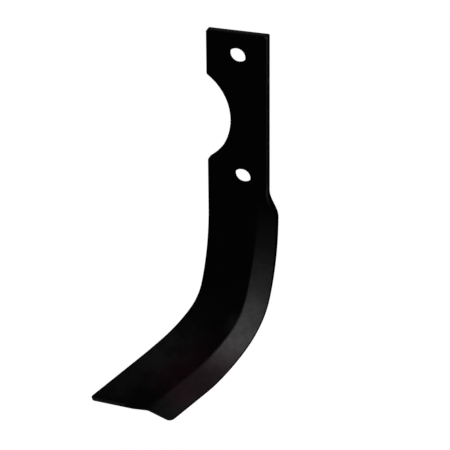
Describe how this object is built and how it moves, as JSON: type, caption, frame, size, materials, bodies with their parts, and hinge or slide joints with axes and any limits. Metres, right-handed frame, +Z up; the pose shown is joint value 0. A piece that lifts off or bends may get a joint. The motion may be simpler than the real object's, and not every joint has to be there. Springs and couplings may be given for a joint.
{
  "type": "rotary tiller blade",
  "caption": "Forged rotary tiller blade: flat bar with a half-round tube notch between bolt holes, swept back, bevelled along its outer edge and bent sideways at the tip.",
  "frame": {"origin": "on the back face, which seats on the rotor's flange, halfway between the bolt holes' centres", "axes": "+Y leaves the back face and is parallel to the rotor's axis; +Z runs up the shank to its top end; +X runs across the bar from the notch to the cutting edge; the tip is bent toward -Y"},
  "size_m": [0.1438, 0.0636, 0.3329],
  "materials": {
    "black_paint": "satin black paint"
  },
  "bodies": {
    "root": {"tiller_blade": "black_paint"}
  },
  "joints": []
}
